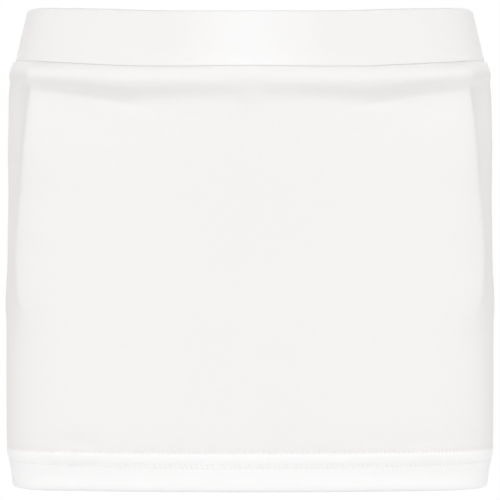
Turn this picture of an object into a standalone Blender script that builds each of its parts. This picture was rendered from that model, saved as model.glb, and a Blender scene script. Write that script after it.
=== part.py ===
"""A girl's straight tennis skirt, filled out as it is worn, with no wearer.

Three cut pieces: a front panel, a back panel and a folded elastic waistband that is closed
by one seam at the centre back. Each is one wall of cloth, lofted through level sections.
Frame: metres, +Z up, -Y is the front, origin in the middle of the waist opening.
"""

import math
from collections import namedtuple

import bmesh
import bpy

# Driving dimensions
WAISTBAND_HEIGHT = 0.030
SKIRT_LENGTH = 0.258
HEM_DEPTH = 0.0205
CLOTH = 0.0012
HEM_CLOTH = 0.0024
WAISTBAND_CLOTH = 0.0026
SEAM_GAP = 0.0003

WAIST_TOP = WAISTBAND_HEIGHT / 2
WAIST_SEAM = -WAISTBAND_HEIGHT / 2
HEM_EDGE = WAIST_TOP - SKIRT_LENGTH
HEM_TURN = HEM_EDGE + HEM_DEPTH

PANEL_COLUMNS = 44
WAISTBAND_COLUMNS = 84

# Level sections of the filled-out cloth's outer face. Squareness 2 is an ellipse.
Section = namedtuple("Section", "z half_width front back squareness")
SECTIONS = (
    Section(WAIST_TOP, 0.1202, 0.0812, 0.0800, 2.10),
    Section(WAIST_SEAM, 0.1266, 0.0850, 0.0880, 2.20),
    Section(-0.024, 0.1294, 0.0881, 0.0905, 2.22),
    Section(-0.034, 0.1306, 0.0899, 0.0925, 2.24),
    Section(-0.060, 0.1311, 0.0907, 0.0965, 2.26),
    Section(-0.084, 0.1309, 0.0909, 0.0986, 2.27),
    Section(-0.114, 0.1314, 0.0912, 0.1000, 2.29),
    Section(-0.160, 0.1313, 0.0924, 0.0995, 2.37),
    Section(-0.205, 0.1312, 0.0930, 0.0980, 2.44),
    Section(HEM_TURN, 0.1310, 0.0926, 0.0975, 2.40),
    Section(-0.2295, 0.1300, 0.0917, 0.0966, 2.36),
    Section(-0.2355, 0.1288, 0.0906, 0.0955, 2.32),
    Section(HEM_EDGE, 0.1280, 0.0896, 0.0948, 2.30),
)

# How far the waistband's two edges hang below their levels, from centre front to centre back.
DipPoint = namedtuple("DipPoint", "angle_deg top seam")
DIPS = (
    DipPoint(0.0, 0.0050, 0.0041),
    DipPoint(14.0, 0.0048, 0.0044),
    DipPoint(27.0, 0.0041, 0.0041),
    DipPoint(36.0, 0.0032, 0.0032),
    DipPoint(46.0, 0.0028, 0.0021),
    DipPoint(56.0, 0.0023, 0.0012),
    DipPoint(64.0, 0.0018, 0.0003),
    DipPoint(74.0, 0.0015, 0.0),
    DipPoint(90.0, 0.0024, 0.0),
    DipPoint(108.0, 0.0010, 0.0),
    DipPoint(140.0, 0.0, 0.0),
    DipPoint(180.0, 0.0, 0.0),
)

# The soft roll of cloth under the waistband: how far it stands out, down its own height.
RollPoint = namedtuple("RollPoint", "share out")
ROLL = (
    RollPoint(0.00, 0.0006),
    RollPoint(0.05, 0.0017),
    RollPoint(0.14, 0.0028),
    RollPoint(0.30, 0.0031),
    RollPoint(0.45, 0.0027),
    RollPoint(0.60, 0.0018),
    RollPoint(0.74, 0.0006),
    RollPoint(0.87, -0.0006),
    RollPoint(1.00, -0.0015),
    RollPoint(1.14, -0.0019),
    RollPoint(1.35, -0.0022),
    RollPoint(1.60, -0.0023),
    RollPoint(2.00, -0.0023),
    RollPoint(2.80, -0.0018),
    RollPoint(4.20, -0.0009),
    RollPoint(7.00, 0.0),
)

# The roll from the centres to the sides: its height, and the share of its crest and its trough.
RollSize = namedtuple("RollSize", "angle_deg height crest trough")
ROLL_SIZE = (
    RollSize(0.0, 0.0160, 0.86, 0.75),
    RollSize(6.0, 0.0156, 0.92, 0.85),
    RollSize(12.0, 0.0153, 1.0, 0.97),
    RollSize(20.0, 0.0154, 1.05, 1.15),
    RollSize(27.0, 0.0152, 1.05, 1.3),
    RollSize(34.0, 0.0144, 1.0, 1.45),
    RollSize(42.0, 0.0138, 1.0, 1.5),
    RollSize(52.0, 0.0136, 1.0, 1.5),
    RollSize(62.0, 0.0134, 0.95, 1.3),
    RollSize(72.0, 0.0132, 0.75, 0.7),
    RollSize(90.0, 0.0132, 0.38, 0.0),
)

# The soft upright fold on each side: where its crest runs, and how strong it is there.
FoldPoint = namedtuple("FoldPoint", "z angle_deg strength")
SIDE_FOLD = (
    FoldPoint(-0.0153, 57.0, 0.0),
    FoldPoint(-0.022, 57.4, 0.8),
    FoldPoint(-0.030, 58.3, 1.15),
    FoldPoint(-0.040, 59.7, 1.4),
    FoldPoint(-0.051, 60.6, 1.45),
    FoldPoint(-0.062, 61.2, 1.4),
    FoldPoint(-0.0755, 62.5, 1.2),
    FoldPoint(-0.089, 64.2, 1.0),
    FoldPoint(-0.105, 65.6, 0.92),
    FoldPoint(-0.121, 66.5, 0.9),
    FoldPoint(-0.139, 65.2, 0.8),
    FoldPoint(-0.150, 64.3, 0.45),
    FoldPoint(-0.163, 63.5, 0.0),
)
FOLD_CREST = 0.0028
FOLD_VALLEY = 0.0011
FOLD_FRONT_REACH = 0.020
FOLD_BACK_REACH = 0.0086
VALLEY_OFFSET = 0.026
VALLEY_REACH = 0.015
ARC_PER_DEGREE = 0.0017
BACK_FOLD_SHARE = 0.6

# The fold ends low on each side in a small bulge.
BULGE_Z = -0.141
BULGE_OUT = 0.0011
BULGE_REACH_UP = 0.016
BULGE_REACH_DOWN = 0.007
BULGE_HALF_ANGLE = 20.0

# Shallow dents where the hem's second layer holds the cloth back: front and back, each side.
DENT_Z = -0.218
DENT_ANGLE = 38.0
DENT_HALF_ANGLE = 6.5
DENT_REACH = 0.0045
DENT_DEPTH = 0.0006

# Slack cloth above the hem, on the back alone. The front hangs plain between its side folds.
Slack = namedtuple("Slack", "x z half_width rise fall out")
BACK_SLACK = (
    Slack(0.022, -0.1900, 0.034, 0.028, 0.020, 0.0010),
    Slack(-0.055, -0.2010, 0.026, 0.026, 0.018, 0.0011),
)

# The hem hangs a little lower beside each side's foot.
HEM_DROOP = 0.0006
DROOP_ANGLE = 62.0
DROOP_HALF_ANGLE = 18.0

# Levels at which a panel is lofted, below the roll, and how the roll is divided.
ROLL_SHARES = (0.0, 0.05, 0.14, 0.30, 0.48, 0.66, 0.84, 1.0, 1.25, 1.7)
PANEL_LEVELS = (
    -0.055, -0.072, -0.090, -0.106, -0.120, -0.132, -0.142, -0.151, -0.161, -0.173, -0.185,
    -0.196, -0.206, -0.2135, -0.2185, HEM_TURN + 0.0007, HEM_TURN - 0.0007, -0.2275, -0.2320,
    -0.2360, HEM_EDGE,
)
WAISTBAND_LEVELS = (WAIST_TOP, 0.0135, 0.0075, 0.0, -0.0075, -0.0135, WAIST_SEAM)

CLOTH_COLOUR = (0.905, 0.892, 0.885, 1.0)
WAISTBAND_COLOUR = (0.940, 0.932, 0.930, 1.0)


def smooth_step(value):
    """0 below 0 and 1 above 1, with level ends."""
    value = min(1.0, max(0.0, value))
    return value * value * (3.0 - 2.0 * value)


def bump(distance, reach):
    """A rounded hump, 1 at distance 0 and almost 0 at twice its reach."""
    return math.exp(-((distance / reach) ** 2))


def read_table(rows, at, column):
    """A table's column at one value of its first column, eased so that it has no kink."""
    keys = [row[0] for row in rows]
    values = [getattr(row, column) for row in rows]
    if keys[0] > keys[-1]:
        keys.reverse()
        values.reverse()
    if at <= keys[0]:
        return values[0]
    if at >= keys[-1]:
        return values[-1]
    index = max(i for i, key in enumerate(keys) if key <= at)
    slopes = [(values[i + 1] - values[i]) / (keys[i + 1] - keys[i]) for i in range(len(keys) - 1)]

    def tangent(i):
        if i in (0, len(keys) - 1):
            return slopes[0] if i == 0 else slopes[-1]
        before, after = slopes[i - 1], slopes[i]
        return 0.0 if before * after <= 0 else 2 * before * after / (before + after)

    span = keys[index + 1] - keys[index]
    t = (at - keys[index]) / span
    return (
        (2 * t**3 - 3 * t**2 + 1) * values[index]
        + (t**3 - 2 * t**2 + t) * span * tangent(index)
        + (3 * t**2 - 2 * t**3) * values[index + 1]
        + (t**3 - t**2) * span * tangent(index + 1)
    )


def turned_from_front(angle):
    """Degrees away from the centre front, 0 to 180, the same on both sides."""
    return abs(math.degrees(math.atan2(math.sin(angle), math.cos(angle))))


def section_point(angle, z):
    """A point of the plain section at a level: angle 0 is the centre front, 90 degrees is +X."""
    half_width = read_table(SECTIONS, z, "half_width")
    depth = read_table(SECTIONS, z, "front" if math.cos(angle) >= 0 else "back")
    power = 2.0 / read_table(SECTIONS, z, "squareness")
    sine, cosine = math.sin(angle), math.cos(angle)
    x = half_width * math.copysign(abs(sine) ** power, sine)
    y = -depth * math.copysign(abs(cosine) ** power, cosine)
    return x, y


def outward(angle, z):
    """The level direction that faces away from the wearer at a point of the section."""
    step = 0.01
    x0, y0 = section_point(angle - step, z)
    x1, y1 = section_point(angle + step, z)
    length = math.hypot(x1 - x0, y1 - y0)
    return (y1 - y0) / length, -(x1 - x0) / length


def fold_out(angle, z):
    """How far the side folds move the cloth out, or in beside their crest."""
    turned = turned_from_front(angle)
    total = 0.0
    for share, around in ((1.0, turned), (BACK_FOLD_SHARE, 180.0 - turned)):
        strength = read_table(SIDE_FOLD, z, "strength") * share
        past = (around - read_table(SIDE_FOLD, z, "angle_deg")) * ARC_PER_DEGREE
        reach = FOLD_FRONT_REACH if past < 0 else FOLD_BACK_REACH
        total += strength * FOLD_CREST * bump(past, reach)
        total -= strength * FOLD_VALLEY * bump(past - VALLEY_OFFSET, VALLEY_REACH)
    up = BULGE_REACH_UP if z > BULGE_Z else BULGE_REACH_DOWN
    total += BULGE_OUT * bump(z - BULGE_Z, up) * bump(turned - 90.0, BULGE_HALF_ANGLE)
    return total


def dent_in(angle, z):
    """How far the dents above the hem move the cloth in."""
    turned = turned_from_front(angle)
    beside = min(abs(turned - DENT_ANGLE), abs(180.0 - turned - DENT_ANGLE))
    return DENT_DEPTH * bump(beside, DENT_HALF_ANGLE) * bump(z - DENT_Z, DENT_REACH)


def slack_out(angle, z):
    """How far the slack above the hem moves the back's cloth out."""
    if math.cos(angle) >= 0:
        return 0.0
    x = section_point(angle, z)[0]
    total = 0.0
    for slack in BACK_SLACK:
        reach = slack.rise if z > slack.z else slack.fall
        total += slack.out * bump(x - slack.x, slack.half_width) * bump(z - slack.z, reach)
    return total


def roll_size(angle, column):
    """The roll's height, crest or trough at an angle, the same in front and behind."""
    turned = turned_from_front(angle)
    return read_table(ROLL_SIZE, min(turned, 180.0 - turned), column)


def roll_out(angle, share):
    """How far the roll stands out at a share of its height, or lies in below it."""
    out = read_table(ROLL, share, "out")
    return out * roll_size(angle, "crest" if out > 0 else "trough")


def waistband_point(angle, level):
    """A point of the waistband's outer face."""
    share = (level - WAIST_SEAM) / WAISTBAND_HEIGHT
    turned = turned_from_front(angle)
    dip = share * read_table(DIPS, turned, "top")
    dip += (1.0 - share) * read_table(DIPS, turned, "seam")
    x, y = section_point(angle, level)
    return x, y, level - dip


def panel_point(angle, level):
    """A point of a panel's outer face. A positive level is a share of the roll's height."""
    top = WAIST_SEAM - SEAM_GAP
    height = roll_size(angle, "height")
    share = level if level >= 0 else (top - level) / height
    z = top - level * height if level >= 0 else level
    out = roll_out(angle, share) + fold_out(angle, z) + slack_out(angle, z) - dent_in(angle, z)
    x, y = section_point(angle, z)
    across, along = outward(angle, z)
    turned = turned_from_front(angle)
    fade = smooth_step((z - HEM_TURN) / (top - HEM_TURN))
    dip = fade * read_table(DIPS, turned, "seam")
    dip += (1.0 - fade) * HEM_DROOP * bump(turned - DROOP_ANGLE, DROOP_HALF_ANGLE)
    return x + across * out, y + along * out, z - dip


def lofted_sheet(name, angles, levels, point_at):
    """An open sheet of cloth: a grid whose rows follow the levels and whose columns the angles."""
    columns, rows = len(angles) - 1, len(levels) - 1
    grid = bmesh.new()
    bmesh.ops.create_grid(grid, x_segments=columns, y_segments=rows, size=0.5)
    for vertex in grid.verts:
        column = round((vertex.co.x + 0.5) * columns)
        row = round((0.5 - vertex.co.y) * rows)
        vertex.co = point_at(angles[column], levels[row])
    mesh = bpy.data.meshes.new(name)
    grid.to_mesh(mesh)
    grid.free()
    return bpy.data.objects.new(name, mesh)


def give_thickness(piece, thickness):
    """Makes the open sheet a closed wall, with its thickness on the wearer's side."""
    wall = piece.modifiers.new("wall", "SOLIDIFY")
    wall.thickness = thickness
    wall.offset = -1.0
    return wall


def double_the_hem(piece, wall):
    """Two layers below the hem's raw edge, one layer above it."""
    hem = piece.vertex_groups.new(name="hem")
    below = [v.index for v in piece.data.vertices if v.co.z < HEM_TURN]
    hem.add(below, 1.0, "REPLACE")
    wall.vertex_group = hem.name
    wall.thickness_vertex_group = CLOTH / HEM_CLOTH


def cloth_material(name, colour, roughness):
    """A plain knit material."""
    material = bpy.data.materials.new(name)
    material.use_nodes = True
    shader = material.node_tree.nodes["Principled BSDF"]
    shader.inputs["Base Color"].default_value = colour
    shader.inputs["Roughness"].default_value = roughness
    shader.inputs["Metallic"].default_value = 0.0
    material.diffuse_color = colour
    return material


def turns_between(start, end, count):
    """Evenly spaced angles, in radians, from one angle to another, in degrees."""
    return [math.radians(start + (end - start) * i / count) for i in range(count + 1)]


def make_panel(name, middle_deg, material):
    """The front or the back panel: half of the skirt's tube, from side seam to side seam."""
    side_radius = section_point(math.pi / 2, WAIST_SEAM)[0] * 0.8
    half_gap = math.degrees(SEAM_GAP / 2 / side_radius)
    reach = 90.0 - half_gap
    angles = turns_between(middle_deg - reach, middle_deg + reach, PANEL_COLUMNS)
    panel = lofted_sheet(name, angles, ROLL_SHARES + PANEL_LEVELS, panel_point)
    double_the_hem(panel, give_thickness(panel, HEM_CLOTH))
    panel.data.materials.append(material)
    return panel


def make_waistband(material):
    """The waistband: one folded loop over its elastic, seamed at the centre back."""
    back_width = read_table(SECTIONS, 0.0, "half_width")
    half_gap = math.degrees(SEAM_GAP / 2 / back_width)
    reach = 180.0 - half_gap
    angles = turns_between(-reach, reach, WAISTBAND_COLUMNS)
    waistband = lofted_sheet("waistband", angles, WAISTBAND_LEVELS, waistband_point)
    give_thickness(waistband, WAISTBAND_CLOTH)
    waistband.data.materials.append(material)
    return waistband


def clear_scene():
    """Removes what the scene holds at the start."""
    for old in list(bpy.data.objects):
        bpy.data.objects.remove(old, do_unlink=True)


def main():
    clear_scene()
    skirt = bpy.data.collections.new("tennis_skirt")
    bpy.context.scene.collection.children.link(skirt)
    cloth = cloth_material("white_knit", CLOTH_COLOUR, 0.75)
    band_cloth = cloth_material("waistband_knit", WAISTBAND_COLOUR, 0.70)
    pieces = (
        make_waistband(band_cloth),
        make_panel("front_panel", 0.0, cloth),
        make_panel("back_panel", 180.0, cloth),
    )
    for piece in pieces:
        skirt.objects.link(piece)
        piece.data.shade_smooth()


main()
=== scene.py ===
"""Dresses a girl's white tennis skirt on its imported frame: cloth, sewing, finishes and studio.

Metres, +Z up, -Y is the front. Each piece is laid out flat first, as on a cutting table, and then
wrapped on the skirt's form: `across` is the way round the skirt from the centre front, `drop` is
the depth below the waist seam, and `inset` is the depth under the skirt's outer face.
"""

import logging
import math
from dataclasses import dataclass
from enum import Enum
from typing import Callable, NamedTuple, Sequence

import bpy
import numpy as np
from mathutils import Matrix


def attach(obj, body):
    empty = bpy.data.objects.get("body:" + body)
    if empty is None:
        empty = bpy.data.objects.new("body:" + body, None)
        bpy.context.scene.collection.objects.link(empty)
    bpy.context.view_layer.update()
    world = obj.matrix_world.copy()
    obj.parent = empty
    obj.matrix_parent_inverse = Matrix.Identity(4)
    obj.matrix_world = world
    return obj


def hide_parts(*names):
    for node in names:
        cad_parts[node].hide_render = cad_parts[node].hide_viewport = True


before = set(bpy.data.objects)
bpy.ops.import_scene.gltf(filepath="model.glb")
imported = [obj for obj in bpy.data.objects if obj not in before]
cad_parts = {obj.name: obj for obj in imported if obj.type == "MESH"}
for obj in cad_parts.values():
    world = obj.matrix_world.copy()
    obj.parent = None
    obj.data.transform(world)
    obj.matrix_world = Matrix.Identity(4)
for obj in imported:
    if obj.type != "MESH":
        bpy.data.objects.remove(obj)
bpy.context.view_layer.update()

log = logging.getLogger("tennis_skirt")

Array = np.ndarray
Piece = bpy.types.Object
Socket = bpy.types.NodeSocket
Colour = tuple[float, float, float, float]
Wrap = Callable[[Array, Array, Array], Array]
Place = Callable[[Array], Array]

CUT_MAP = "Cut"
KNIT_THICKNESS = 0.00075
FOLD_STEPS = 8
SIDE_DEG = 90.0
BACK_DEG = 180.0
SIDES = {"left": 1.0, "right": -1.0}
NOISE_SPAN = (0.3, 0.7)


class Facing(Enum):
    """Which way the right side of a piece of cloth looks."""

    OUT = 1.0
    IN = -1.0


class Half(Enum):
    """The two halves of the skirt's tube."""

    FRONT = "front"
    BACK = "back"


class Section(NamedTuple):
    """A level section of the cloth's outer face. Squareness 2 is an ellipse."""

    z: float
    half_width: float
    front: float
    back: float
    squareness: float


class Dip(NamedTuple):
    """How far the waistband's two edges hang below their levels at one angle."""

    angle_deg: float
    top: float
    seam: float


class Relief(NamedTuple):
    """A point of a profile: its place along the cloth and how far the cloth stands out there."""

    at: float
    out: float


class RollSize(NamedTuple):
    """The roll at one angle: its height, and how strong its crest and the trough under it are."""

    angle_deg: float
    height: float
    crest: float
    trough: float


class FoldPoint(NamedTuple):
    """Where the crest of a side fold runs, and how strong the fold is there."""

    z: float
    angle_deg: float
    strength: float


class Crease(NamedTuple):
    """A soft trough, or a ridge where its depth is negative."""

    across: float
    z: float
    length: float
    width: float
    depth: float
    lean_deg: float


class Slack(NamedTuple):
    """Loose cloth, with its own reach above and below its fullest place."""

    across: float
    z: float
    half_width: float
    rise: float
    fall: float
    out: float


def table(kind: type, *rows: tuple[float, ...]) -> tuple:
    """A table's rows, each as a named tuple of one kind."""
    return tuple(kind(*row) for row in rows)


SECTIONS = table(
    Section,
    (0.015, 0.1202, 0.0812, 0.0800, 2.10),
    (-0.015, 0.1266, 0.0850, 0.0880, 2.20),
    (-0.024, 0.1294, 0.0881, 0.0905, 2.22),
    (-0.034, 0.1306, 0.0899, 0.0925, 2.24),
    (-0.060, 0.1311, 0.0907, 0.0965, 2.26),
    (-0.084, 0.1309, 0.0909, 0.0986, 2.27),
    (-0.114, 0.1314, 0.0912, 0.1000, 2.29),
    (-0.160, 0.1313, 0.0924, 0.0995, 2.37),
    (-0.205, 0.1312, 0.0930, 0.0980, 2.44),
    (-0.2225, 0.1310, 0.0926, 0.0975, 2.40),
    (-0.2295, 0.1300, 0.0917, 0.0966, 2.36),
    (-0.2355, 0.1288, 0.0906, 0.0955, 2.32),
    (-0.2430, 0.1280, 0.0896, 0.0948, 2.30),
)
DIPS = table(
    Dip,
    (0.0, 0.0050, 0.0041),
    (14.0, 0.0050, 0.0044),
    (27.0, 0.0044, 0.0041),
    (36.0, 0.0036, 0.0032),
    (46.0, 0.0029, 0.0021),
    (56.0, 0.0023, 0.0012),
    (64.0, 0.0018, 0.0003),
    (74.0, 0.0015, 0.0),
    (90.0, 0.0024, 0.0),
    (108.0, 0.0010, 0.0),
    (140.0, 0.0, 0.0),
    (180.0, 0.0, 0.0),
)
# Down the roll, in shares of its height.
ROLL = table(
    Relief,
    (0.00, 0.0026),
    (0.16, 0.0030),
    (0.30, 0.0031),
    (0.45, 0.0027),
    (0.60, 0.0018),
    (0.74, 0.0006),
    (0.87, -0.0007),
    (1.00, -0.0018),
    (1.13, -0.0025),
    (1.30, -0.0028),
    (1.60, -0.0028),
    (2.00, -0.0026),
    (2.80, -0.0019),
    (4.20, -0.0009),
    (7.00, 0.0),
)
ROLL_SIZE = table(
    RollSize,
    (0.0, 0.0160, 0.86, 0.75),
    (6.0, 0.0156, 0.92, 0.85),
    (12.0, 0.0153, 1.0, 0.97),
    (20.0, 0.0154, 1.05, 1.15),
    (27.0, 0.0152, 1.05, 1.3),
    (34.0, 0.0142, 1.0, 1.45),
    (42.0, 0.0135, 1.0, 1.5),
    (52.0, 0.0129, 1.0, 1.5),
    (62.0, 0.0124, 0.95, 1.3),
    (72.0, 0.0122, 0.75, 1.0),
    (90.0, 0.0128, 0.46, 0.0),
)
SIDE_FOLD = table(
    FoldPoint,
    (-0.015, 59.6, 0.45),
    (-0.022, 60.4, 0.8),
    (-0.030, 61.0, 1.25),
    (-0.040, 61.2, 1.55),
    (-0.051, 61.2, 1.6),
    (-0.062, 61.5, 1.55),
    (-0.0755, 62.5, 1.3),
    (-0.089, 64.2, 1.0),
    (-0.105, 65.6, 0.92),
    (-0.121, 66.5, 0.9),
    (-0.139, 65.2, 0.8),
    (-0.150, 64.3, 0.45),
    (-0.163, 63.5, 0.0),
)
# Up from the hem's fold: the relief that sewing gives it.
HEM_RELIEF = table(
    Relief,
    (0.0000, -0.00056),
    (0.0008, -0.00030),
    (0.0018, -0.00011),
    (0.0036, 0.0),
    (0.0060, -0.00002),
    (0.0090, -0.00010),
    (0.0115, -0.00018),
    (0.0130, -0.00024),
    (0.0138, -0.00024),
    (0.0148, -0.00012),
    (0.0162, 0.00003),
    (0.0185, 0.00008),
    (0.0198, 0.00005),
    (0.0210, -0.00003),
    (0.0224, 0.0),
    (0.0275, 0.0),
)
SLACK = table(
    Slack,
    # Front: beside each upright fold.
    (-0.120, -0.0600, 0.018, 0.030, 0.070, 0.0008),
    (0.120, -0.0600, 0.018, 0.030, 0.070, 0.0008),
    # Back: above the hem.
    (0.345, -0.1900, 0.034, 0.028, 0.020, 0.0010),
    (-0.312, -0.2010, 0.026, 0.026, 0.018, 0.0011),
)
CREASES = table(
    Crease,
    # Front: the roll's break at the centre, drags under the roll, and slack low on the sides.
    (0.000, -0.0315, 0.006, 0.0062, -0.0007, 90.0),
    (-0.079, -0.0335, 0.026, 0.0030, 0.0004, -9.0),
    (0.079, -0.0335, 0.026, 0.0030, 0.0004, 9.0),
    (-0.139, -0.1480, 0.010, 0.0030, 0.0005, -40.0),
    (0.139, -0.1480, 0.010, 0.0030, 0.0005, 40.0),
    (-0.091, -0.2170, 0.011, 0.0032, 0.0004, -4.0),
    (0.092, -0.2170, 0.010, 0.0032, 0.0004, 5.0),
    # Back: the same kinds, less even.
    (0.366, -0.0335, 0.010, 0.0070, -0.0005, 90.0),
    (0.262, -0.0360, 0.034, 0.0034, 0.0006, -12.0),
    (-0.270, -0.0345, 0.026, 0.0030, 0.0006, 10.0),
    (0.312, -0.0450, 0.024, 0.0040, 0.0004, -7.0),
    (-0.236, -0.1560, 0.020, 0.0038, 0.0006, 38.0),
    (0.239, -0.1500, 0.015, 0.0034, 0.0005, -43.0),
    (-0.300, -0.2165, 0.014, 0.0034, 0.0006, 3.0),
    (0.288, -0.2175, 0.010, 0.0030, 0.0005, -6.0),
    (-0.184, -0.0620, 0.020, 0.0060, 0.0006, 84.0),
    (0.187, -0.0700, 0.026, 0.0060, 0.0005, 95.0),
)


def smooth_step(value: Array) -> Array:
    """0 below 0 and 1 above 1, with level ends."""
    value = np.clip(value, 0.0, 1.0)
    return value * value * (3.0 - 2.0 * value)


def hump(distance: Array, reach: Array | float) -> Array:
    """A rounded hump, 1 at distance 0 and almost 0 at twice its reach."""
    return np.exp(-((distance / reach) ** 2))


class EasedColumn:
    """One column of a short table, read between its rows without a kink or an overshoot."""

    def __init__(self, rows: Sequence[tuple], column: str) -> None:
        """Works out the slope at each row.

        Args:
            rows: the table; its first column is what it is read by.
            column: the name of the column to read.
        """
        ordered = sorted(rows, key=lambda row: row[0])
        self.keys = np.array([row[0] for row in ordered])
        self.values = np.array([getattr(row, column) for row in ordered])
        slopes = np.diff(self.values) / np.diff(self.keys)
        before, after = slopes[:-1], slopes[1:]
        same_way = before * after > 0
        total = np.where(same_way, before + after, 1.0)
        inner = np.where(same_way, 2 * before * after / total, 0.0)
        self.slopes = np.concatenate(([slopes[0]], inner, [slopes[-1]]))

    def __call__(self, at: Array) -> Array:
        """Reads the column.

        Args:
            at: values of the table's first column.

        Returns:
            The column's values there.
        """
        at = np.clip(at, self.keys[0], self.keys[-1])
        row = np.clip(np.searchsorted(self.keys, at, side="right") - 1, 0, len(self.keys) - 2)
        span = self.keys[row + 1] - self.keys[row]
        t = (at - self.keys[row]) / span
        return (
            (2 * t**3 - 3 * t**2 + 1) * self.values[row]
            + (t**3 - 2 * t**2 + t) * span * self.slopes[row]
            + (3 * t**2 - 2 * t**3) * self.values[row + 1]
            + (t**3 - t**2) * span * self.slopes[row + 1]
        )


def columns_of(rows: Sequence[tuple]) -> dict[str, EasedColumn]:
    """Every column of a table but its first, ready to be read."""
    return {name: EasedColumn(rows, name) for name in rows[0]._fields[1:]}


@dataclass
class SkirtForm:
    """The filled-out skirt's outer face, on which every piece is wrapped."""

    waistband_height: float = 0.030
    skirt_length: float = 0.258
    hem_depth: float = 0.0205
    seam_gap: float = 0.0003
    fold_crest: float = 0.0028
    fold_valley: float = 0.0011
    fold_front_reach: float = 0.020
    fold_back_reach: float = 0.0086
    valley_offset: float = 0.0260
    valley_reach: float = 0.0150
    back_fold_share: float = 0.6
    arc_per_degree: float = 0.0017
    bulge_z: float = -0.143
    bulge_out: float = 0.0009
    bulge_up: float = 0.016
    bulge_down: float = 0.010
    bulge_half_angle: float = 20.0
    crease_lip: float = 0.3
    crease_lip_place: float = 2.0
    lower_row: float = 0.0137
    row_sag: float = 0.0008
    sag_reach: float = 0.004
    hem_droop: float = 0.0006
    droop_height: float = 0.030
    droop_angle: float = 62.0
    droop_half_angle: float = 18.0
    seam_out: float = 0.0013
    shoulder: float = 0.0030
    band_flare: float = 0.0008
    flare_reach: float = 0.17
    flare_side_loss: float = 0.8
    flare_side_half_angle: float = 25.0
    middle_flare: float = 0.25
    middle_flare_reach: float = 0.3
    girth_level: float = -0.110
    girth_reach_deg: float = 285.0
    girth_points: int = 2281
    outward_step: float = 0.01

    def __post_init__(self) -> None:
        """Prepares the levels, the tables' columns and the way round the skirt."""
        self.seam_z = -self.waistband_height / 2
        self.hem_z = self.waistband_height / 2 - self.skirt_length
        self.panel_z = self.seam_z - self.seam_gap
        self.panel_length = self.panel_z - self.hem_z
        self.sections = columns_of(SECTIONS)
        self.dips = columns_of(DIPS)
        self.roll = columns_of(ROLL)["out"]
        self.roll_size = columns_of(ROLL_SIZE)
        self.fold = columns_of(SIDE_FOLD)
        self.hem_relief = columns_of(HEM_RELIEF)["out"]
        reach = self.girth_reach_deg
        self.angles = np.radians(np.linspace(-reach, reach, self.girth_points))
        x, y = self.section(self.angles, np.full_like(self.angles, self.girth_level))
        way = np.concatenate(([0.0], np.cumsum(np.hypot(np.diff(x), np.diff(y)))))
        self.way_round = way - np.interp(0.0, self.angles, way)
        self.half_girth = float(np.interp(math.pi, self.angles, self.way_round))
        self.side_across = float(np.interp(math.pi / 2, self.angles, self.way_round))

    def ends(self, half: Half) -> tuple[float, float]:
        """The ways round at which a half of the skirt starts and ends."""
        side = self.side_across
        return (-side, side) if half is Half.FRONT else (side, 2 * self.half_girth - side)

    def angle_at(self, across: Array) -> Array:
        """The angle at a way round the skirt from the centre front."""
        return np.interp(across, self.way_round, self.angles)

    def turned(self, angle: Array) -> Array:
        """Degrees away from the centre front, the same on both sides."""
        return np.abs(np.degrees(np.arctan2(np.sin(angle), np.cos(angle))))

    def section(self, angle: Array, z: Array) -> tuple[Array, Array]:
        """The plain section's points.

        Args:
            angle: 0 at the centre front and a quarter turn at +X, in radians.
            z: the level.

        Returns:
            The points' x and y.
        """
        sine, cosine = np.sin(angle), np.cos(angle)
        depth = np.where(cosine >= 0, self.sections["front"](z), self.sections["back"](z))
        power = 2.0 / self.sections["squareness"](z)
        x = self.sections["half_width"](z) * np.sign(sine) * np.abs(sine) ** power
        return x, -depth * np.sign(cosine) * np.abs(cosine) ** power

    def placed(self, angle: Array, level: Array, out: Array, z: Array) -> Array:
        """Points that stand out from the plain section.

        Args:
            angle: the angle round the skirt.
            level: the level of their section.
            out: how far away from the wearer they stand.
            z: their own height.

        Returns:
            The points, with x, y and z last.
        """
        x, y = self.section(angle, level)
        x0, y0 = self.section(angle - self.outward_step, level)
        x1, y1 = self.section(angle + self.outward_step, level)
        length = np.hypot(x1 - x0, y1 - y0)
        right, back = (y1 - y0) / length, (x0 - x1) / length
        return np.stack(np.broadcast_arrays(x + right * out, y + back * out, z), axis=-1)

    def roll_out(self, angle: Array, drop: Array) -> Array:
        """How far the roll under the waistband stands out.

        Args:
            angle: the angle round the skirt.
            drop: the depth below the waist seam.

        Returns:
            The distance, negative in the trough under the roll.
        """
        turned = self.turned(angle)
        turned = np.minimum(turned, BACK_DEG - turned)
        out = self.roll(drop / self.roll_size["height"](turned))
        crest, trough = self.roll_size["crest"](turned), self.roll_size["trough"](turned)
        return out * np.where(out > 0.0, crest, trough)

    def sag(self, angle: Array, above: Array) -> Array:
        """How far the hem's lower row hangs below its even height at the centres."""
        return self.row_sag * np.cos(2 * angle) * hump(above - self.lower_row, self.sag_reach)

    def side_folds(self, angle: Array, z: Array) -> Array:
        """How far the upright folds and the bulge at their foot move the cloth out.

        Args:
            angle: the angle round the skirt.
            z: the level.

        Returns:
            The distance, negative in the folds' valleys.
        """
        turned = self.turned(angle)
        total = np.zeros_like(turned)
        for share, around in ((1.0, turned), (self.back_fold_share, BACK_DEG - turned)):
            strength = self.fold["strength"](z) * share
            past = (around - self.fold["angle_deg"](z)) * self.arc_per_degree
            reach = np.where(past < 0, self.fold_front_reach, self.fold_back_reach)
            total += strength * self.fold_crest * hump(past, reach)
            total -= strength * self.fold_valley * hump(past - self.valley_offset, self.valley_reach)
        reach = np.where(z > self.bulge_z, self.bulge_up, self.bulge_down)
        beside = hump(turned - SIDE_DEG, self.bulge_half_angle)
        return total + self.bulge_out * hump(z - self.bulge_z, reach) * beside

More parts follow.
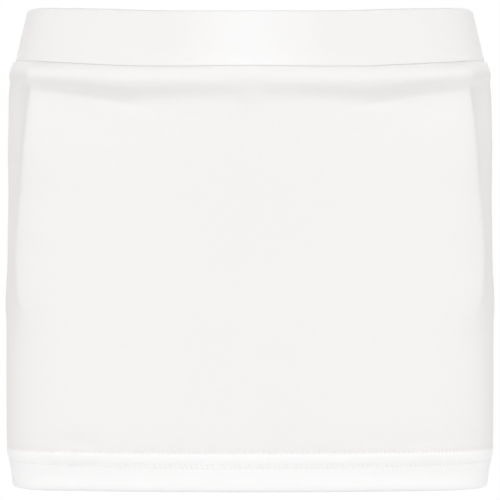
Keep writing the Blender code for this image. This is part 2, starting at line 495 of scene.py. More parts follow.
    def aside(self, across: Array, place: float) -> Array:
        """The way from a place to some points, the short way round the skirt."""
        return (across - place + self.half_girth) % (2 * self.half_girth) - self.half_girth

    def creases(self, across: Array, z: Array) -> Array:
        """How far the listed creases and slack move the cloth in.

        Args:
            across: the way round from the centre front.
            z: the level.

        Returns:
            The distance, negative where they move it out.
        """
        total = np.zeros(np.broadcast(across, z).shape)
        for crease in CREASES:
            lean = math.radians(crease.lean_deg)
            aside, up = self.aside(across, crease.across), z - crease.z
            along = aside * math.cos(lean) + up * math.sin(lean)
            beside = up * math.cos(lean) - aside * math.sin(lean)
            lip = hump(np.abs(beside) - self.crease_lip_place * crease.width, crease.width)
            trough = hump(beside, crease.width) - self.crease_lip * lip
            total += crease.depth * trough * hump(along, crease.length)
        for slack in SLACK:
            reach = np.where(z > slack.z, slack.rise, slack.fall)
            full = hump(self.aside(across, slack.across), slack.half_width)
            total -= slack.out * full * hump(z - slack.z, reach)
        return total

    def panel(self, across: Array, drop: Array, inset: Array) -> Array:
        """Points on or under a panel's outer face.

        Args:
            across: the way round from the centre front.
            drop: the depth below the waist seam.
            inset: the depth under the face; negative stands proud of it.

        Returns:
            The points, with x, y and z last.
        """
        angle = self.angle_at(across)
        turned = self.turned(angle)
        level = self.panel_z - drop
        above = level - self.hem_z
        short = 1.0 - np.clip(drop / self.shoulder, 0.0, 1.0)
        held = np.sqrt(1.0 - short**2)
        out = self.seam_out * (1.0 - held) - inset
        out = out + held * (self.roll_out(angle, drop) + self.side_folds(angle, level))
        out = out + self.hem_relief(above + self.sag(angle, above)) - self.creases(across, level)
        fade = smooth_step(1.0 - drop / (self.panel_length - self.hem_depth))
        low = smooth_step(1.0 - above / self.droop_height)
        droop = self.hem_droop * low * hump(turned - self.droop_angle, self.droop_half_angle)
        return self.placed(angle, level, out, level - fade * self.dips["seam"](turned) - droop)

    def waistband(self, across: Array, drop: Array, inset: Array) -> Array:
        """Points on or under the waistband's outer face.

        Args:
            across: the way round from the centre front.
            drop: the depth below the waist seam, negative above it.
            inset: the depth under the face.

        Returns:
            The points, with x, y and z last.
        """
        angle = self.angle_at(across)
        turned = self.turned(angle)
        level = self.seam_z - drop
        share = -drop / self.waistband_height
        front = 1.0 - self.flare_side_loss * hump(turned - SIDE_DEG, self.flare_side_half_angle)
        middle = self.middle_flare * hump(share - 0.5, self.middle_flare_reach)
        out = self.band_flare * (front * hump(share, self.flare_reach) + middle) - inset
        z = level - share * self.dips["top"](turned) - (1.0 - share) * self.dips["seam"](turned)
        return self.placed(angle, level, out, z)

    def round_waist(self, along: Array, depth: Array, inset: Array) -> Array:
        """Wraps a strip inside the waistband, from the centre back and from the panels' top edge."""
        return self.waistband(along - self.half_girth, depth + self.seam_gap, inset)

    def down_side(self, direction: float, top: float, length: float) -> Wrap:
        """Prepares to wrap a strip behind a side seam.

        Args:
            direction: 1 on the wearer's left and -1 on the right.
            top: the drop of its upper end.
            length: its length.

        Returns:
            The function that places its way along, its depth behind the seam and its inset.
        """

        def wrap(along: Array, depth: Array, inset: Array) -> Array:
            """Places points of the strip."""
            drop = top + length / 2 - direction * (along - length / 2)
            return self.panel(direction * (self.side_across + depth), drop, inset)

        return wrap


class PathPoint(NamedTuple):
    """A point of a piece's upright path. Its facing is that of its face, and 0 where it looks up."""

    drop: float
    inset: float
    facing: float


def level_steps(start: float, end: float, step: float) -> list[float]:
    """Even drops from one to another, both included, about a step apart."""
    count = max(1, round(abs(end - start) / step))
    return [start + (end - start) * i / count for i in range(count + 1)]


def turn(centre_drop: float, radius: float, start: float, end: float, count: int) -> list[PathPoint]:
    """A rounded turn of the cloth.

    Args:
        centre_drop: the drop of the turn's centre.
        radius: the turn's radius, from the face that is turned.
        start: the first angle in degrees; 0 looks out, 90 down, 180 in and -90 up.
        end: the last angle.
        count: how many steps the turn has.

    Returns:
        The path's points.
    """
    points = []
    for i in range(count + 1):
        angle = math.radians(start + (end - start) * i / count)
        drop = centre_drop + radius * math.sin(angle)
        points.append(PathPoint(drop, radius * (1.0 - math.cos(angle)), math.cos(angle)))
    return points


def folded_strip(depth: float, inset: float, radius: float, step: float) -> list[PathPoint]:
    """Two layers of cloth from a drop of 0, folded where they end.

    Args:
        depth: the drop of the fold.
        inset: how deep the outer layer lies.
        radius: half the distance between the layers' faces.
        step: about how long each step of the path is.

    Returns:
        The path, down the inner layer, round the fold and up the outer layer.
    """
    centre = depth - radius
    points = [PathPoint(drop, 2 * radius, Facing.IN.value) for drop in level_steps(0.0, centre, step)]
    points += turn(centre, radius, 180.0, 0.0, FOLD_STEPS)[1:]
    points += [PathPoint(drop, 0.0, Facing.OUT.value) for drop in level_steps(centre, 0.0, step)[1:]]
    return [point._replace(inset=point.inset + inset) for point in points]


def path_lengths(path: Sequence[PathPoint]) -> Array:
    """The way along a path to each of its points."""
    drop, inset, _ = np.array(path).T
    return np.concatenate(([0.0], np.cumsum(np.hypot(np.diff(drop), np.diff(inset)))))


def name_new(name: str) -> Piece:
    """Names the object that was added last, and its data."""
    piece = bpy.context.object
    piece.name = piece.data.name = name
    return piece


def make_active(piece: Piece) -> None:
    """Selects one piece alone, so that an operator acts on nothing else."""
    bpy.ops.object.select_all(action="DESELECT")
    piece.select_set(True)
    bpy.context.view_layer.objects.active = piece


def finish_modifier(piece: Piece, modifier: bpy.types.Modifier) -> None:
    """Applies one modifier to the mesh of its piece."""
    make_active(piece)
    bpy.ops.object.modifier_apply(modifier=modifier.name)


def points_of(piece: Piece) -> Array:
    """The places of a mesh's vertices."""
    places = np.empty(len(piece.data.vertices) * 3)
    piece.data.vertices.foreach_get("co", places)
    return places.reshape(-1, 3)


def move_points(piece: Piece, places: Array) -> None:
    """Gives a mesh's vertices new places."""
    piece.data.vertices.foreach_set("co", places.astype(np.float32).ravel())
    piece.data.update()


def set_cloth_map(piece: Piece, flat: Array) -> None:
    """Lays the piece's UV map out as its cut, in metres.

    Args:
        piece: a mesh with one UV map.
        flat: the flat place of each vertex.
    """
    corners = np.empty(len(piece.data.loops), dtype=np.int32)
    piece.data.loops.foreach_get("vertex_index", corners)
    piece.data.uv_layers[0].name = CUT_MAP
    piece.data.uv_layers[CUT_MAP].uv.foreach_set("vector", flat[corners].astype(np.float32).ravel())


def declare(piece: Piece, nodes: Sequence[str] = ()) -> None:
    """Tells the frame what a piece is.

    Args:
        piece: the piece, which rides on the skirt's one body.
        nodes: the CAD nodes it stands for.
    """
    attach(piece, "root")
    for node in nodes:
        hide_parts(node)


@dataclass
class ClothPiece:
    """A cut piece of knit: a flat grid, wrapped on the form, then given its thickness."""

    name: str
    wrap: Wrap
    start: float
    end: float
    path: list[PathPoint]
    thickness: float = KNIT_THICKNESS
    spacing: float = 0.0017
    edge_roll: float = 0.0009
    edge_shares: tuple[float, ...] = (0.0, 0.06, 0.22, 0.5, 0.9, 1.4)

    def columns(self) -> Array:
        """The ways round of the grid's columns, closer together where the edges roll in."""
        near = self.edge_roll * np.array(self.edge_shares)
        inner = level_steps(self.start + near[-1], self.end - near[-1], self.spacing)
        return np.concatenate((self.start + near[:-1], inner, (self.end - near[:-1])[::-1]))

    def rolled(self, across: Array) -> Array:
        """How deep the piece's side edges roll into their seam."""
        distance = np.minimum(across - self.start, self.end - across)
        short = np.clip(self.edge_roll - distance, 0.0, self.edge_roll)
        return self.edge_roll - np.sqrt(self.edge_roll**2 - short**2)

    def build(self) -> Piece:
        """Lays the grid, wraps it and thickens it.

        Returns:
            The piece, with its cut as UV map.
        """
        across = self.columns()
        columns, rows = len(across) - 1, len(self.path) - 1
        bpy.ops.mesh.primitive_grid_add(x_subdivisions=columns, y_subdivisions=rows, size=1.0)
        piece = name_new(self.name)
        grid = points_of(piece)
        way = across[np.rint((grid[:, 0] + 0.5) * columns).astype(int)]
        row = np.rint((grid[:, 1] + 0.5) * rows).astype(int)
        drop, inset, facing = np.array(self.path)[row].T
        set_cloth_map(piece, np.stack((way, path_lengths(self.path)[row]), axis=1))
        move_points(piece, self.wrap(way, drop, inset + facing * self.rolled(way)))
        wall = piece.modifiers.new("wall", "SOLIDIFY")
        wall.thickness = self.thickness
        wall.offset = -1.0
        finish_modifier(piece, wall)
        bpy.ops.object.shade_smooth()
        return piece

    def cut_length(self) -> float:
        """The length of the piece's path."""
        return float(path_lengths(self.path)[-1])


@dataclass
class Panel:
    """The front or the back panel, in one with its turned hem."""

    form: SkirtForm
    half: Half
    layer_gap: float = 0.0001
    seam_close: float = 0.00028
    seam_insets: tuple[float, ...] = (0.00008, 0.0005)
    shoulder_shares: tuple[float, ...] = (0.7, 0.45, 0.27, 0.14, 0.05, 0.0)
    hem_zone: float = 0.028
    roll_zone: float = 0.032
    turned_step: float = 0.0013
    hem_step: float = 0.0008
    plain_step: float = 0.0026
    roll_step: float = 0.0009
    cut_allowance: float = 0.014
    roll_drop: float = 0.0070

    def __post_init__(self) -> None:
        """Works out the radius of the hem's fold."""
        self.fold = KNIT_THICKNESS + self.layer_gap / 2

    def path(self) -> list[PathPoint]:
        """From the hem's raw edge inside, round its fold and up the face into the waist seam."""
        length = self.form.panel_length
        turned = level_steps(length - self.form.hem_depth, length - self.fold, self.turned_step)
        points = [PathPoint(drop, 2 * self.fold, Facing.IN.value) for drop in turned]
        points += turn(length - self.fold, self.fold, 180.0, 0.0, FOLD_STEPS)[1:]
        drops = level_steps(length - self.fold, length - self.hem_zone, self.hem_step)[1:]
        drops += level_steps(length - self.hem_zone, self.roll_zone, self.plain_step)[1:]
        drops += level_steps(self.roll_zone, self.form.shoulder, self.roll_step)[1:]
        drops += [self.form.shoulder * share for share in self.shoulder_shares]
        points += [PathPoint(drop, 0.0, Facing.OUT.value) for drop in drops]
        return points + [PathPoint(-self.seam_close, inset, 0.0) for inset in self.seam_insets]

    def cut_at(self, above: float) -> float:
        """The way up the cut from its raw edge to a height above the hem's fold, on the face."""
        return self.form.hem_depth + (math.pi - 2) * self.fold + above

    def roll_line(self) -> float:
        """The way up the cut to the roll's middle, below which the cloth is single."""
        return float(path_lengths(self.path())[-1]) - self.roll_drop

    def build(self) -> Piece:
        """Returns:
            The panel.
        """
        inside = self.form.seam_gap / 4
        start, end = self.form.ends(self.half)
        name = f"{self.half.value}_panel"
        cloth = ClothPiece(f"{name}_cloth", self.form.panel, start + inside, end - inside, self.path())
        panel = cloth.build()
        declare(panel, [name])
        height = cloth.cut_length() + self.cut_allowance / 2
        return panel


@dataclass
class Waistband:
    """The folded strip over the elastic, with its allowance turned down inside."""

    form: SkirtForm
    fold_radius: float = 0.00125
    seam_radius: float = 0.0007
    seam_turn: float = 42.0
    seam_steps: int = 6
    top_steps: int = 10
    face_step: float = 0.0011
    inside_step: float = 0.0016
    spacing: float = 0.0022
    allowance: float = 0.0070
    seam_half_gap: float = 0.00008
    strip_length: float = 0.674

    def path(self) -> list[PathPoint]:
        """Up the face from the waist seam, over the top fold and down inside past the seam."""
        foot = -self.seam_radius * math.sin(math.radians(self.seam_turn))
        top = self.fold_radius - self.form.waistband_height
        points = turn(foot, self.seam_radius, self.seam_turn, 0.0, self.seam_steps)
        drops = level_steps(points[-1].drop, top, self.face_step)[1:]
        points += [PathPoint(drop, 0.0, Facing.OUT.value) for drop in drops]
        points += turn(top, self.fold_radius, 0.0, -180.0, self.top_steps)[1:]
        drops = level_steps(top, self.allowance, self.inside_step)[1:]
        return points + [PathPoint(drop, 2 * self.fold_radius, Facing.IN.value) for drop in drops]

    def build(self) -> Piece:
        """Returns:
            The waistband.
        """
        reach = self.form.half_girth - self.seam_half_gap
        cloth = ClothPiece(
            "waistband_cloth", self.form.waistband, -reach, reach, self.path(), spacing=self.spacing
        )
        band = cloth.build()
        declare(band, ["waistband"])
        cloth.cut_length() + self.allowance
        return band


class StripSize(NamedTuple):
    """A folded allowance: its depth, how deep its outer layer lies and its columns' spacing."""

    depth: float
    inset: float
    spacing: float


@dataclass
class SeamAllowances:
    """The two layers turned inwards at the waist seam and at each side seam."""

    form: SkirtForm
    waist_size: StripSize = StripSize(0.0068, 0.00040, 0.0036)
    side_size: StripSize = StripSize(0.0062, 0.00085, 0.0025)
    thickness: float = 0.0006
    layer_radius: float = 0.00065
    path_step: float = 0.0012
    edge_roll: float = 0.0002
    side_top: float = 0.0072
    side_tuck: float = 0.0015

    def strip(self, seam: str, wrap: Wrap, length: float, size: StripSize) -> Piece:
        """Args:
            seam: the seam's name.
            wrap: places its way along the seam, its depth from it and its inset.
            length: its length along the seam, from 0.
            size: its other sizes.

        Returns:
            The strip.
        """
        name = f"{seam}_seam_allowance"
        path = folded_strip(size.depth, size.inset, self.layer_radius, self.path_step)
        strip = ClothPiece(name, wrap, 0.0, length, path, self.thickness, size.spacing, self.edge_roll)
        piece = strip.build()
        declare(piece)
        strip.cut_length()
        return piece

    def build(self) -> list[Piece]:
        """Makes the ring under the waistband and a strip down each side seam.

        Returns:
            The strips.
        """
        form = self.form
        length = form.panel_length - form.hem_depth + self.side_tuck - self.side_top
        strips = [self.strip("waist", form.round_waist, 2 * form.half_girth, self.waist_size)]
        for side, direction in SIDES.items():
            wrap = form.down_side(direction, self.side_top, length)
            strips.append(self.strip(side, wrap, length, self.side_size))
        return strips


class Bend(NamedTuple):
    """A point of a thread's flat path; its place and handles along the seam are in pitches."""

    along: float
    beside: float
    lift: float
    handle: float


class Stitch(NamedTuple):
    """One stitch's bends, and the curve's steps between two of them."""

    bends: tuple[Bend, ...]
    steps: int


# A straight stitch that dips into the cloth at both ends.
NEEDLE_BENDS = table(
    Bend,
    (0.06, 0.0, -0.00022, 0.02),
    (0.22, 0.0, 0.000096, 0.09),
    (0.50, 0.0, 0.000128, 0.12),
    (0.78, 0.0, 0.000096, 0.09),
    (0.94, 0.0, -0.00022, 0.02),
)
NEEDLE_STITCH = Stitch(NEEDLE_BENDS, steps=2)
LOOPER_LIFT = 0.00018
LOOPER_HANDLE = 0.20


def looper_stitch(near: float, far: float, far_lift: float) -> Stitch:
    """A looper thread that runs to and fro between two lines beside a seam."""
    turns = ((0.0, near, LOOPER_LIFT), (0.5, far, far_lift), (1.0, near, LOOPER_LIFT))
    return Stitch(tuple(Bend(*place, LOOPER_HANDLE) for place in turns), steps=6)


@dataclass(frozen=True)
class Thread:
    """A stitch, modelled once as a bevelled curve and repeated down its seam."""

    name: str
    stitch: Stitch
    pitch: float
    ahead: float = 0.0
    beside: float = 0.0
    radius: float = 0.00016

    def row(self, length: float) -> Piece:
        """A straight row of the stitch on flat cloth.

        Args:
            length: the seam's length.

        Returns:
            The row as a mesh: x is along the seam, y beside it and z above the cloth.
        """
        bpy.ops.curve.primitive_bezier_curve_add(radius=1.0)
        curve = bpy.context.object
        spline = curve.data.splines[0]
        spline.bezier_points.add(len(self.stitch.bends) - 2)
        for point, bend in zip(spline.bezier_points, self.stitch.bends):
            along = (bend.along + self.ahead) * self.pitch
            place = np.array((along, bend.beside + self.beside, bend.lift))
            reach = np.array((bend.handle * self.pitch, 0.0, 0.0))
            point.handle_left_type = point.handle_right_type = "FREE"
            point.co = place
            point.handle_left = place - reach
            point.handle_right = place + reach
        curve.data.resolution_u = self.stitch.steps
        curve.data.bevel_depth = self.radius
        curve.data.bevel_resolution = 1
        curve.data.use_fill_caps = True
        make_active(curve)
        bpy.ops.object.convert(target="MESH")
        row = name_new(self.name)
        array = row.modifiers.new("row", "ARRAY")
        array.count = int(length / self.pitch)
        array.use_relative_offset = False
        array.use_constant_offset = True
        array.constant_offset_displace = (length / array.count, 0.0, 0.0)
        finish_modifier(row, array)
        return row

    def sew(self, length: float, place: Place) -> Piece:
        """Repeats the stitch and wraps the row on the form.

        Args:
            length: the seam's length.
            place: turns the flat row's points into points on the form.

        Returns:
            The row of stitches.
        """
        row = self.row(length)
        move_points(row, place(points_of(row)))
        make_active(row)
        bpy.ops.object.shade_smooth()
        declare(row)
        return row


@dataclass
class Sewing:
    """The coverstitched hem, and the overlocked waist and side seams inside."""

    form: SkirtForm
    hem_pitch: float = 0.00277
    upper_row: float = 0.0208
    turned_layer: float = 0.0016
    overlock_pitch: float = 0.0026
    overlock_width: float = 0.0045
    past_edge: float = -0.0003
    under_edge: float = -0.0005
    waist_edge: float = 0.0067
    waistband_inside: float = 0.0025
    side_top: float = 0.0095
    side_edge: float = 0.0062
    strip_inside: float = 0.00215

    def on_hem(self, half: Half, above: float, facing: Facing) -> Place:
        """Prepares to place a flat row on the hem, from one side seam to the other.

        Args:
            half: whose panel it is on.
            above: the row's height above the hem's fold.
            facing: whether it lies on the outside or on the turned layer inside.

        Returns:
            The function that moves the row's points.
        """
        start, end = self.form.ends(half)
        middle, half_length = (start + end) / 2, (end - start) / 2
        base = 0.0 if facing is Facing.OUT else self.turned_layer

        def place(flat: Array) -> Array:
            """Moves the row's points."""
            across = middle + facing.value * (flat[:, 0] - half_length)
            height = above + flat[:, 1]
            height = height - self.form.sag(self.form.angle_at(across), height)
            inset = base - facing.value * flat[:, 2]
            return self.form.panel(across, self.form.panel_length - height, inset)

        return place

    def hem(self, half: Half) -> list[Piece]:
        """The two needle rows outside, and the looper's braid inside, on one panel.

        Args:
            half: whose panel it is.

        Returns:
            The rows of thread.
        """
        start, end = self.form.ends(half)
        upper, lower = self.upper_row, self.form.lower_row
        braid = looper_stitch(0.0, upper - lower, LOOPER_LIFT)
        rows = (
            ("upper_row", NEEDLE_STITCH, 0.0, upper, Facing.OUT),
            ("lower_row", NEEDLE_STITCH, 0.0, lower, Facing.OUT),
            ("looper", braid, 0.0, lower, Facing.IN),
            ("return_looper", braid, 0.5, lower, Facing.IN),
        )
        pieces = []
        for label, stitch, ahead, above, facing in rows:
            thread = Thread(f"{half.value}_hem_{label}", stitch, self.hem_pitch, ahead)
            pieces.append(thread.sew(end - start, self.on_hem(half, above, facing)))
        return pieces

    def overlock(self, name: str, wrap: Wrap, length: float, edge: float, inside: float) -> list[Piece]:
        """An overlock's looper, which goes round the raw edge, and its needle row.

        Args:
            name: the row's name.
            wrap: places a way along the seam, a depth from it and an inset.
            length: the seam's length.
            edge: the depth of the raw edge.
            inside: the inset of the cloth's inner face.

        Returns:
            Both rows of thread.
        """
        width, pitch = self.overlock_width, self.overlock_pitch

        def place(flat: Array) -> Array:
            """Moves a row's points; y is 0 on the raw edge."""
            return wrap(length - flat[:, 0], edge - flat[:, 1], inside + flat[:, 2])

        looper = Thread(name, looper_stitch(width, self.past_edge, self.under_edge), pitch)
        needle = Thread(f"{name}_needle", NEEDLE_STITCH, pitch, beside=width)
        return [looper.sew(length, place), needle.sew(length, place)]

    def build(self) -> list[Piece]:
        """Sews every seam.

        Returns:
            The rows of thread.
        """
        form = self.form
        rows = self.hem(Half.FRONT) + self.hem(Half.BACK)
        waist = (form.round_waist, 2 * form.half_girth, self.waist_edge, self.waistband_inside)
        rows += self.overlock("waist_overlock", *waist)
        length = form.panel_length - form.hem_depth - self.side_top
        for side, direction in SIDES.items():
            wrap = form.down_side(direction, self.side_top, length)
            rows += self.overlock(f"{side}_side_overlock", wrap, length, self.side_edge, self.strip_inside)
        return rows


class NodeSheet:
    """Adds and links the nodes of one material, world or node group."""

    def __init__(self, tree: bpy.types.NodeTree) -> None:
        """Starts on an empty or new node tree."""
        self.tree = tree

    def fill(self, node: bpy.types.Node, inputs: dict) -> None:
        """Sets or links a node's inputs.

        Args:
            node: the node.
            inputs: a value or an output socket for each input, by its name or number.
        """
        for name, value in inputs.items():
            if isinstance(value, Socket):
                self.tree.links.new(value, node.inputs[name])
            else:
                node.inputs[name].default_value = value

    def add(self, kind: str, inputs: dict | None = None, **settings: object) -> bpy.types.Node:
        """Adds a node.

        Args:
            kind: the node's type.
            inputs: what its inputs get, as for fill.
            settings: its properties, which are set first.

        Returns:
            The node.
        """
        node = self.tree.nodes.new(kind)
        for name, value in settings.items():
            setattr(node, name, value)
        self.fill(node, inputs or {})
        return node

    def split(self, vector: Socket) -> tuple[Socket, Socket]:
        """A vector's X and Y."""
        parts = self.add("ShaderNodeSeparateXYZ", {0: vector}).outputs
        return parts["X"], parts["Y"]

    def math(self, operation: str, *values: object) -> Socket:
        """The result of a Math node on numbers or output sockets."""
        return self.add("ShaderNodeMath", dict(enumerate(values)), operation=operation).outputs[0]

    def ramp(self, value: Socket, start: float, end: float, low: float = 0.0, high: float = 1.0) -> Socket:
        """A smooth Map Range from a start and an end to a low and a high value."""
        names = ("Value", "From Min", "From Max", "To Min", "To Max")
        inputs = dict(zip(names, (value, start, end, low, high)))
        return self.add("ShaderNodeMapRange", inputs, interpolation_type="SMOOTHSTEP").outputs["Result"]

    def noise(self, place: Socket, scale: float, detail: float) -> Socket:
        """A noise texture's value."""
        inputs = {"Vector": place, "Scale": scale, "Detail": detail}
        return self.add("ShaderNodeTexNoise", inputs).outputs["Fac"]

    def mix(self, factor: Socket, first: object, second: object, blend: str = "MIX") -> Socket:
        """Two colours mixed; the factor is the second's share."""
        inputs = {"Factor": factor, "A": first, "B": second}
        return self.add("ShaderNodeMix", inputs, data_type="RGBA", blend_type=blend).outputs["Result"]

    def choose(self, second_share: Socket, first: Socket, second: Socket) -> Socket:
        """Two shaders mixed."""
        return self.add("ShaderNodeMixShader", {0: second_share, 1: first, 2: second}).outputs[0]

    def bump(self, height: Socket, distance: float, normal: Socket | None = None) -> Socket:
        """The normal of a Bump node, laid over another normal where one is given."""
        inputs = {"Height": height, "Distance": distance}
        if normal is not None:
            inputs["Normal"] = normal
        return self.add("ShaderNodeBump", inputs).outputs["Normal"]


class MaterialSheet(NodeSheet):
    """The nodes of a new material, with its main shader."""

    def __init__(self, name: str) -> None:
        """Makes the material."""
        self.material = bpy.data.materials.new(name)
        self.material.use_nodes = True
        super().__init__(self.material.node_tree)
        self.shader = self.tree.nodes["Principled BSDF"]


@dataclass(frozen=True)
class KnitLoops:
    """Fine interlock: upright wales of small V-shaped loops, shared by the knit's finishes."""

    leg_weight: float = 0.35
    rib_weight: float = 0.5
    yarn_scale: float = 900.0
    yarn_detail: float = 3.0

    def make(self) -> bpy.types.NodeTree:
        """Builds the node group, which works in metres of the cut.

        Returns:
            The group.
        """
        sheet = NodeSheet(bpy.data.node_groups.new("knit loops", "ShaderNodeTree"))
        sockets = (
            ("Cut", "INPUT", "NodeSocketVector"),
            ("Wale", "INPUT", "NodeSocketFloat"),
            ("Course", "INPUT", "NodeSocketFloat"),
            ("Height", "OUTPUT", "NodeSocketFloat"),
            ("Yarn", "OUTPUT", "NodeSocketFloat"),
        )
        for name, in_out, kind in sockets:
            sheet.tree.interface.new_socket(name, in_out=in_out, socket_type=kind)
        given = sheet.add("NodeGroupInput").outputs
        across, up = sheet.split(given["Cut"])
        slant = sheet.math("PINGPONG", sheet.math("DIVIDE", across, given["Wale"]), 0.5)
        lean = sheet.math("ADD", sheet.math("DIVIDE", up, given["Course"]), slant)
        legs = sheet.math("SINE", sheet.math("MULTIPLY", lean, math.tau))
        ribs = sheet.math("SINE", sheet.math("MULTIPLY", slant, math.tau))
        legs = sheet.math("MULTIPLY", legs, self.leg_weight)
        height = sheet.math("ADD", legs, sheet.math("MULTIPLY", ribs, self.rib_weight))
        yarn = sheet.ramp(sheet.noise(given["Cut"], self.yarn_scale, self.yarn_detail), *NOISE_SPAN)
        sheet.add("NodeGroupOutput", {"Height": height, "Yarn": yarn})
        return sheet.tree


@dataclass(frozen=True)
class KnitFinish:
    """White sports knit, whiter where it is double; on the waistband the centre front is whiter as a
    painted highlight.
    """

    name: str
    single: Colour
    # Its colour where the cloth is double, and the colour of the painted highlight at the centre front.
    double: Colour
    hem_line: float = 0.0
    hem_blur: float = 0.0010
    roll_line: float = 1.0
    roll_blur: float = 0.002
    roll_share: float = 0.18
    # How far from the centre front the painted highlight reaches.
    painted_highlight_reach: float = 0.0
    pucker_rows: tuple[float, ...] = ()
    wale: float = 0.00072
    course: float = 0.00060
    loop_relief: float = 0.00005
    pucker_reach: float = 0.0012
    pucker_pitch: float = 1.0
    pucker_relief: float = 0.00018
    mottle: float = 0.35
    yarn_tint: Colour = (0.975, 0.972, 0.970, 1.0)
    roughness: float = 0.62
    roughness_range: float = 0.06
    sheen: float = 0.06
    sheen_roughness: float = 0.45
    specular: float = 0.35

    def pucker(self, sheet: NodeSheet, across: Socket, up: Socket, row: float) -> Socket:
        """The dimples where each stitch of a row pulls the cloth in.

        Args:
            sheet: the material's nodes.
            across: the way across the cut.
            up: the way up the cut.
            row: the row's way up the cut.

        Returns:
            Their height, 0 between the stitches and -1 at each.
        """
        share = sheet.math("DIVIDE", sheet.math("SUBTRACT", up, row), self.pucker_reach)
        near = sheet.math("EXPONENT", sheet.math("MULTIPLY", sheet.math("POWER", share, 2.0), -1.0))
        turns = sheet.math("MULTIPLY", sheet.math("DIVIDE", across, self.pucker_pitch), math.tau)
        wave = sheet.math("MULTIPLY_ADD", sheet.math("COSINE", turns), -0.5, -0.5)
        return sheet.math("MULTIPLY", wave, near)

    def make(self, loops: bpy.types.NodeTree) -> bpy.types.Material:
        """Builds the material.

        Args:
            loops: the knit's shared node group.

        Returns:
            The material.
        """
        sheet = MaterialSheet(self.name)
        cut = sheet.add("ShaderNodeUVMap", uv_map=CUT_MAP).outputs["UV"]
        across, up = sheet.split(cut)
        inputs = {"Cut": cut, "Wale": self.wale, "Course": self.course}
        knit = sheet.add("ShaderNodeGroup", inputs, node_tree=loops).outputs

        line, blur = self.roll_line, self.roll_blur
        hem = sheet.ramp(up, self.hem_line + self.hem_blur, self.hem_line - self.hem_blur)
        roll = sheet.ramp(up, line - blur, line + blur, 0.0, self.roll_share)
        # Painted highlight: the cloth is whiter towards the centre front.
        centre = sheet.ramp(sheet.math("ABSOLUTE", across), self.painted_highlight_reach, 0.0)
        # Whiter where the cloth is double, and under the painted highlight.
        doubled_and_highlight = sheet.math("MAXIMUM", sheet.math("MAXIMUM", hem, roll), centre)
        colour = sheet.mix(doubled_and_highlight, self.single, self.double)
        mottle = sheet.math("MULTIPLY", knit["Yarn"], self.mottle)
        rough, spread = self.roughness, self.roughness_range

        normal = None
        for row in self.pucker_rows:
            normal = sheet.bump(self.pucker(sheet, across, up, row), self.pucker_relief, normal)
        shading = {
            "Base Color": sheet.mix(mottle, colour, self.yarn_tint, "MULTIPLY"),
            "Roughness": sheet.ramp(knit["Yarn"], 0.0, 1.0, rough - spread, rough + spread),
            "Normal": sheet.bump(knit["Height"], self.loop_relief, normal),
            "Sheen Weight": self.sheen,
            "Sheen Roughness": self.sheen_roughness,
            "Specular IOR Level": self.specular,
        }
        sheet.fill(sheet.shader, shading)
        sheet.material.diffuse_color = self.single
        return sheet.material


@dataclass(frozen=True)
class ThreadFinish:
    """White textured polyester thread."""

    colour: Colour = (0.885, 0.875, 0.87, 1.0)
    shade: float = 0.97
    roughness: float = 0.5
    roughness_range: float = 0.08
    fibre_scale: float = 5000.0
    fibre_detail: float = 2.0
    fibre_relief: float = 0.00003
    sheen: float = 0.1
    specular: float = 0.4

    def make(self) -> bpy.types.Material:
        """Builds the material, with its fibres as a fine bump."""
        sheet = MaterialSheet("white sewing thread")
        place = sheet.add("ShaderNodeTexCoord").outputs["Object"]
        fibres = sheet.noise(place, self.fibre_scale, self.fibre_detail)
        shaded = (*(self.shade * channel for channel in self.colour[:3]), 1.0)
        rough, spread = self.roughness, self.roughness_range
        shading = {
            "Base Color": sheet.mix(fibres, shaded, self.colour),
            "Roughness": sheet.ramp(fibres, *NOISE_SPAN, rough - spread, rough + spread),
            "Normal": sheet.bump(fibres, self.fibre_relief),
            "Sheen Weight": self.sheen,
            "Specular IOR Level": self.specular,
        }
        sheet.fill(sheet.shader, shading)
        sheet.material.diffuse_color = self.colour
        return sheet.material


@dataclass(frozen=True)
class FloorFinish:
    """Pale matt floor that only shows from above."""

    colour: Colour = (0.72, 0.72, 0.72, 1.0)
    roughness: float = 0.7

    def make(self) -> bpy.types.Material:
        """Builds the material."""
        sheet = MaterialSheet("pale floor")
        sheet.fill(sheet.shader, {"Base Color": self.colour, "Roughness": self.roughness})
        below = sheet.add("ShaderNodeNewGeometry").outputs["Backfacing"]
        clear = sheet.add("ShaderNodeBsdfTransparent").outputs[0]
        shown = sheet.choose(below, sheet.shader.outputs[0], clear)
        sheet.fill(sheet.tree.nodes["Material Output"], {"Surface": shown})
        return sheet.material


class SoftLight(NamedTuple):
    """A softbox: where it stands, seen from the skirt, its size and its strength in watts."""

    name: str
    azimuth: float
    elevation: float
    distance: float
    width: float
    height: float
    watts: float


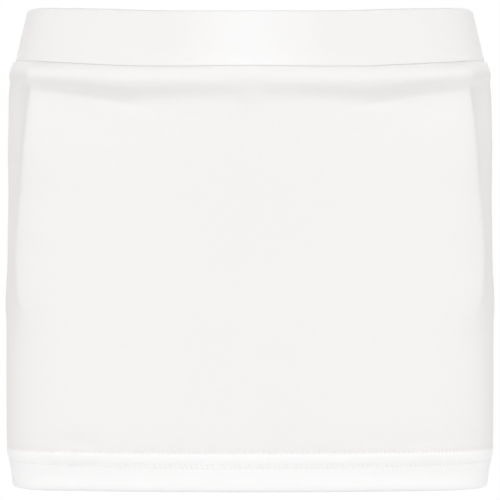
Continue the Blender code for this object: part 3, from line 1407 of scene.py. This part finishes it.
@dataclass
class Studio:
    """The floor, the soft lights, the white surroundings and the camera."""

    middle_z: float = -0.116
    camera_distance: float = 3.0
    frame_width: float = 0.270
    sensor: float = 36.0
    floor_z: float = -0.52
    floor_size: float = 3.0
    ambient: float = 0.250
    ambient_colour: Colour = (1.0, 0.995, 0.99, 1.0)
    seen_colour: Colour = (1.0, 1.0, 1.0, 1.0)
    lights: tuple[SoftLight, ...] = (
        SoftLight("left front softbox", -55.0, 0.0, 2.4, 1.2, 0.8, 21.8),
        SoftLight("right front softbox", 55.0, 0.0, 2.4, 1.2, 0.8, 21.8),
        SoftLight("left softbox", -80.0, 8.0, 2.2, 1.0, 1.6, 7.0),
        SoftLight("right softbox", 80.0, 8.0, 2.2, 1.0, 1.6, 7.0),
        SoftLight("top softbox", 0.0, 60.0, 4.6, 2.2, 1.5, 92.0),
        SoftLight("back softbox", 180.0, 20.0, 2.6, 2.0, 1.2, 38.0),
    )

    def add_floor(self) -> None:
        """A plain pale floor under the skirt, out of the main view."""
        bpy.ops.mesh.primitive_plane_add(size=self.floor_size, location=(0.0, 0.0, self.floor_z))
        floor = name_new("floor")
        floor.data.materials.append(FloorFinish().make())

    def add_lights(self) -> None:
        """The softboxes, each turned to the skirt's middle."""
        for box in self.lights:
            around, rise = math.radians(box.azimuth), math.radians(box.elevation)
            level = box.distance * math.cos(rise)
            x, y = level * math.sin(around), -level * math.cos(around)
            z = self.middle_z + box.distance * math.sin(rise)
            bpy.ops.object.light_add(type="AREA", location=(x, y, z))
            lamp = name_new(box.name)
            lamp.rotation_euler = (math.pi / 2 - rise, 0.0, around)
            lamp.data.shape = "RECTANGLE"
            lamp.data.size = box.width
            lamp.data.size_y = box.height
            lamp.data.energy = box.watts
            lamp.visible_camera = False

    def add_surroundings(self) -> None:
        """White to the camera, and dimmer as a light."""
        world = bpy.data.worlds.new("white surroundings")
        world.use_nodes = True
        bpy.context.scene.world = world
        sheet = NodeSheet(world.node_tree)
        light = sheet.tree.nodes["Background"]
        sheet.fill(light, {"Color": self.ambient_colour, "Strength": self.ambient})
        seen = sheet.add("ShaderNodeBackground", {"Color": self.seen_colour}).outputs[0]
        direct = sheet.add("ShaderNodeLightPath").outputs["Is Camera Ray"]
        surface = sheet.choose(direct, light.outputs[0], seen)
        sheet.fill(sheet.tree.nodes["World Output"], {"Surface": surface})
        bpy.context.scene.view_settings.view_transform = "Standard"

    def add_camera(self) -> None:
        """A long lens, level with the skirt's middle."""
        place = (0.0, -self.camera_distance, self.middle_z)
        bpy.ops.object.camera_add(location=place, rotation=(math.pi / 2, 0.0, 0.0))
        camera = name_new("front camera")
        camera.data.sensor_width = self.sensor
        camera.data.lens = self.sensor * self.camera_distance / self.frame_width
        bpy.context.scene.camera = camera

    def build(self) -> None:
        """Sets the studio up."""
        self.add_floor()
        self.add_lights()
        self.add_surroundings()
        self.add_camera()


def dress(pieces: Sequence[Piece], material: bpy.types.Material) -> None:
    """Gives the pieces one finish."""
    for piece in pieces:
        piece.data.materials.clear()
        piece.data.materials.append(material)


def main() -> None:
    """Builds the skirt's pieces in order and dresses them."""
    logging.basicConfig(level=logging.INFO, format="%(message)s")
    form = SkirtForm()
    Studio().build()
    loops = KnitLoops().make()
    sewing = Sewing(form)

    panels = [Panel(form, half) for half in Half]
    cloth = [panel.build() for panel in panels]
    panel_knit = KnitFinish(
        "white sports knit",
        single=(0.862, 0.846, 0.838, 1.0),
        double=(0.942, 0.939, 0.937, 1.0),
        hem_line=panels[0].cut_at(form.hem_depth),
        roll_line=panels[0].roll_line(),
        pucker_rows=tuple(panels[0].cut_at(row) for row in (form.lower_row, sewing.upper_row)),
        pucker_pitch=sewing.hem_pitch,
    )
    dress(cloth, panel_knit.make(loops))

    band = Waistband(form).build()
    # The band's centre front takes the double colour as a painted highlight; the rest of the band keeps
    # its single colour.
    band_knit = KnitFinish(
        "white waistband knit",
        single=(0.858, 0.845, 0.839, 1.0),
        double=(0.908, 0.902, 0.900, 1.0),
        painted_highlight_reach=0.056,
    )
    dress([band], band_knit.make(loops))

    allowances = SeamAllowances(form).build()
    inside = (0.89, 0.88, 0.875, 1.0)
    dress(allowances, KnitFinish("white knit allowance", single=inside, double=inside).make(loops))

    threads = sewing.build()
    dress(threads, ThreadFinish().make())
    for piece in (*cloth, band, *allowances, *threads):
        log.info("%s: %d faces", piece.name, len(piece.data.polygons))


if __name__ == "__main__":
    main()
